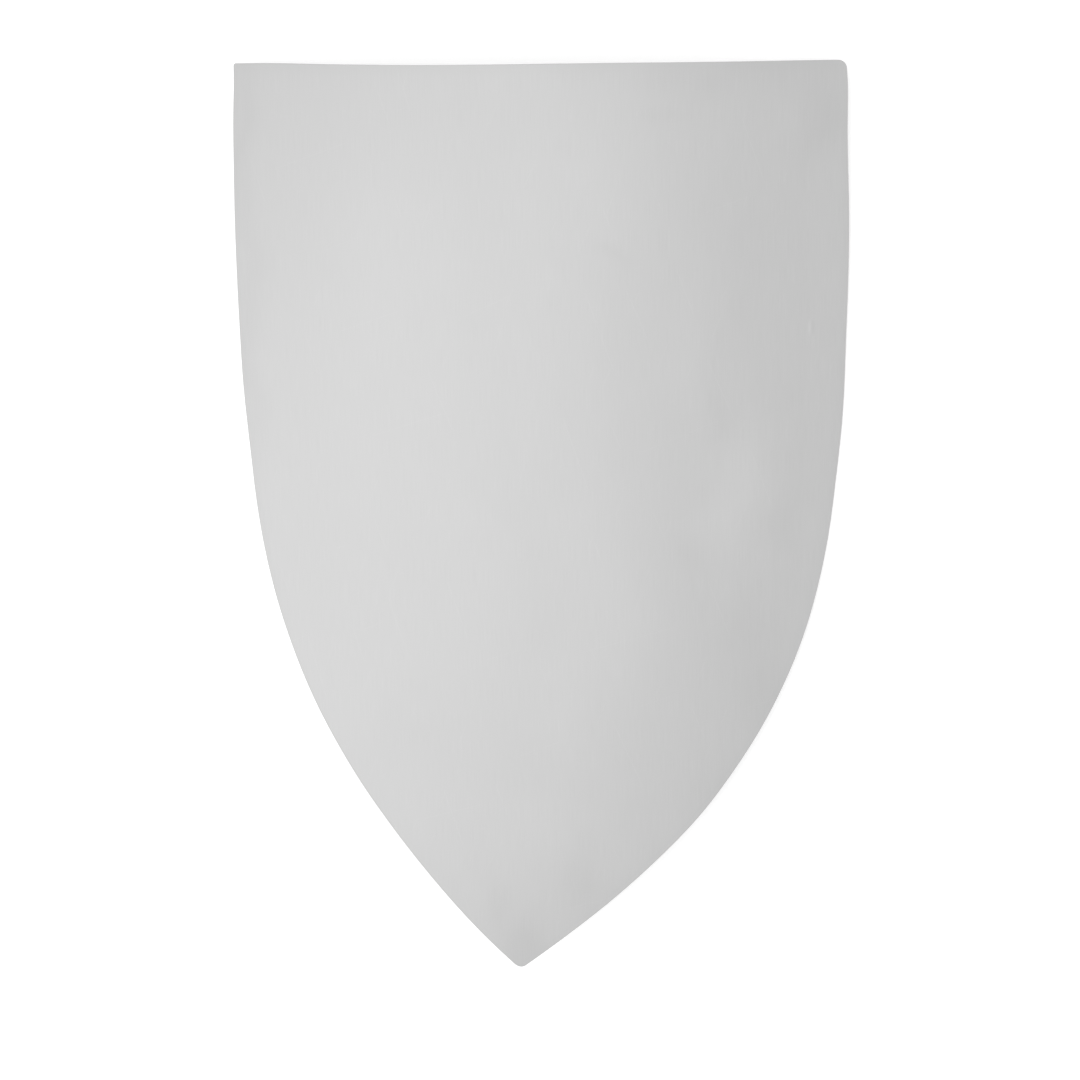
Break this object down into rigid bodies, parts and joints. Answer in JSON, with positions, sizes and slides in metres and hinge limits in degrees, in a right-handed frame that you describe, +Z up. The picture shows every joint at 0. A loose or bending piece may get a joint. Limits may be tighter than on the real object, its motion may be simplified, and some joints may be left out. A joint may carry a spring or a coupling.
{
  "type": "heater shield",
  "caption": "Bare sheet-steel heater shield with a straight top edge and curved sides that meet in a point, rolled about its long axis, with a satin face and a plain back.",
  "frame": {"origin": "on the surface that the shield lies on, under the middle of its bounding box", "axes": "+Z up, out of the convex face; +Y along the shield, from the tip towards the straight top edge; +X across it, to the right as the face is looked at with the top edge up"},
  "size_m": [0.5984, 0.8432, 0.0594],
  "materials": {
    "shield_plate": "bare mild steel, pale grey, satin and finely brushed along the shield, with faint uneven patches"
  },
  "bodies": {
    "root": {"shield_plate": "shield_plate"}
  },
  "joints": []
}
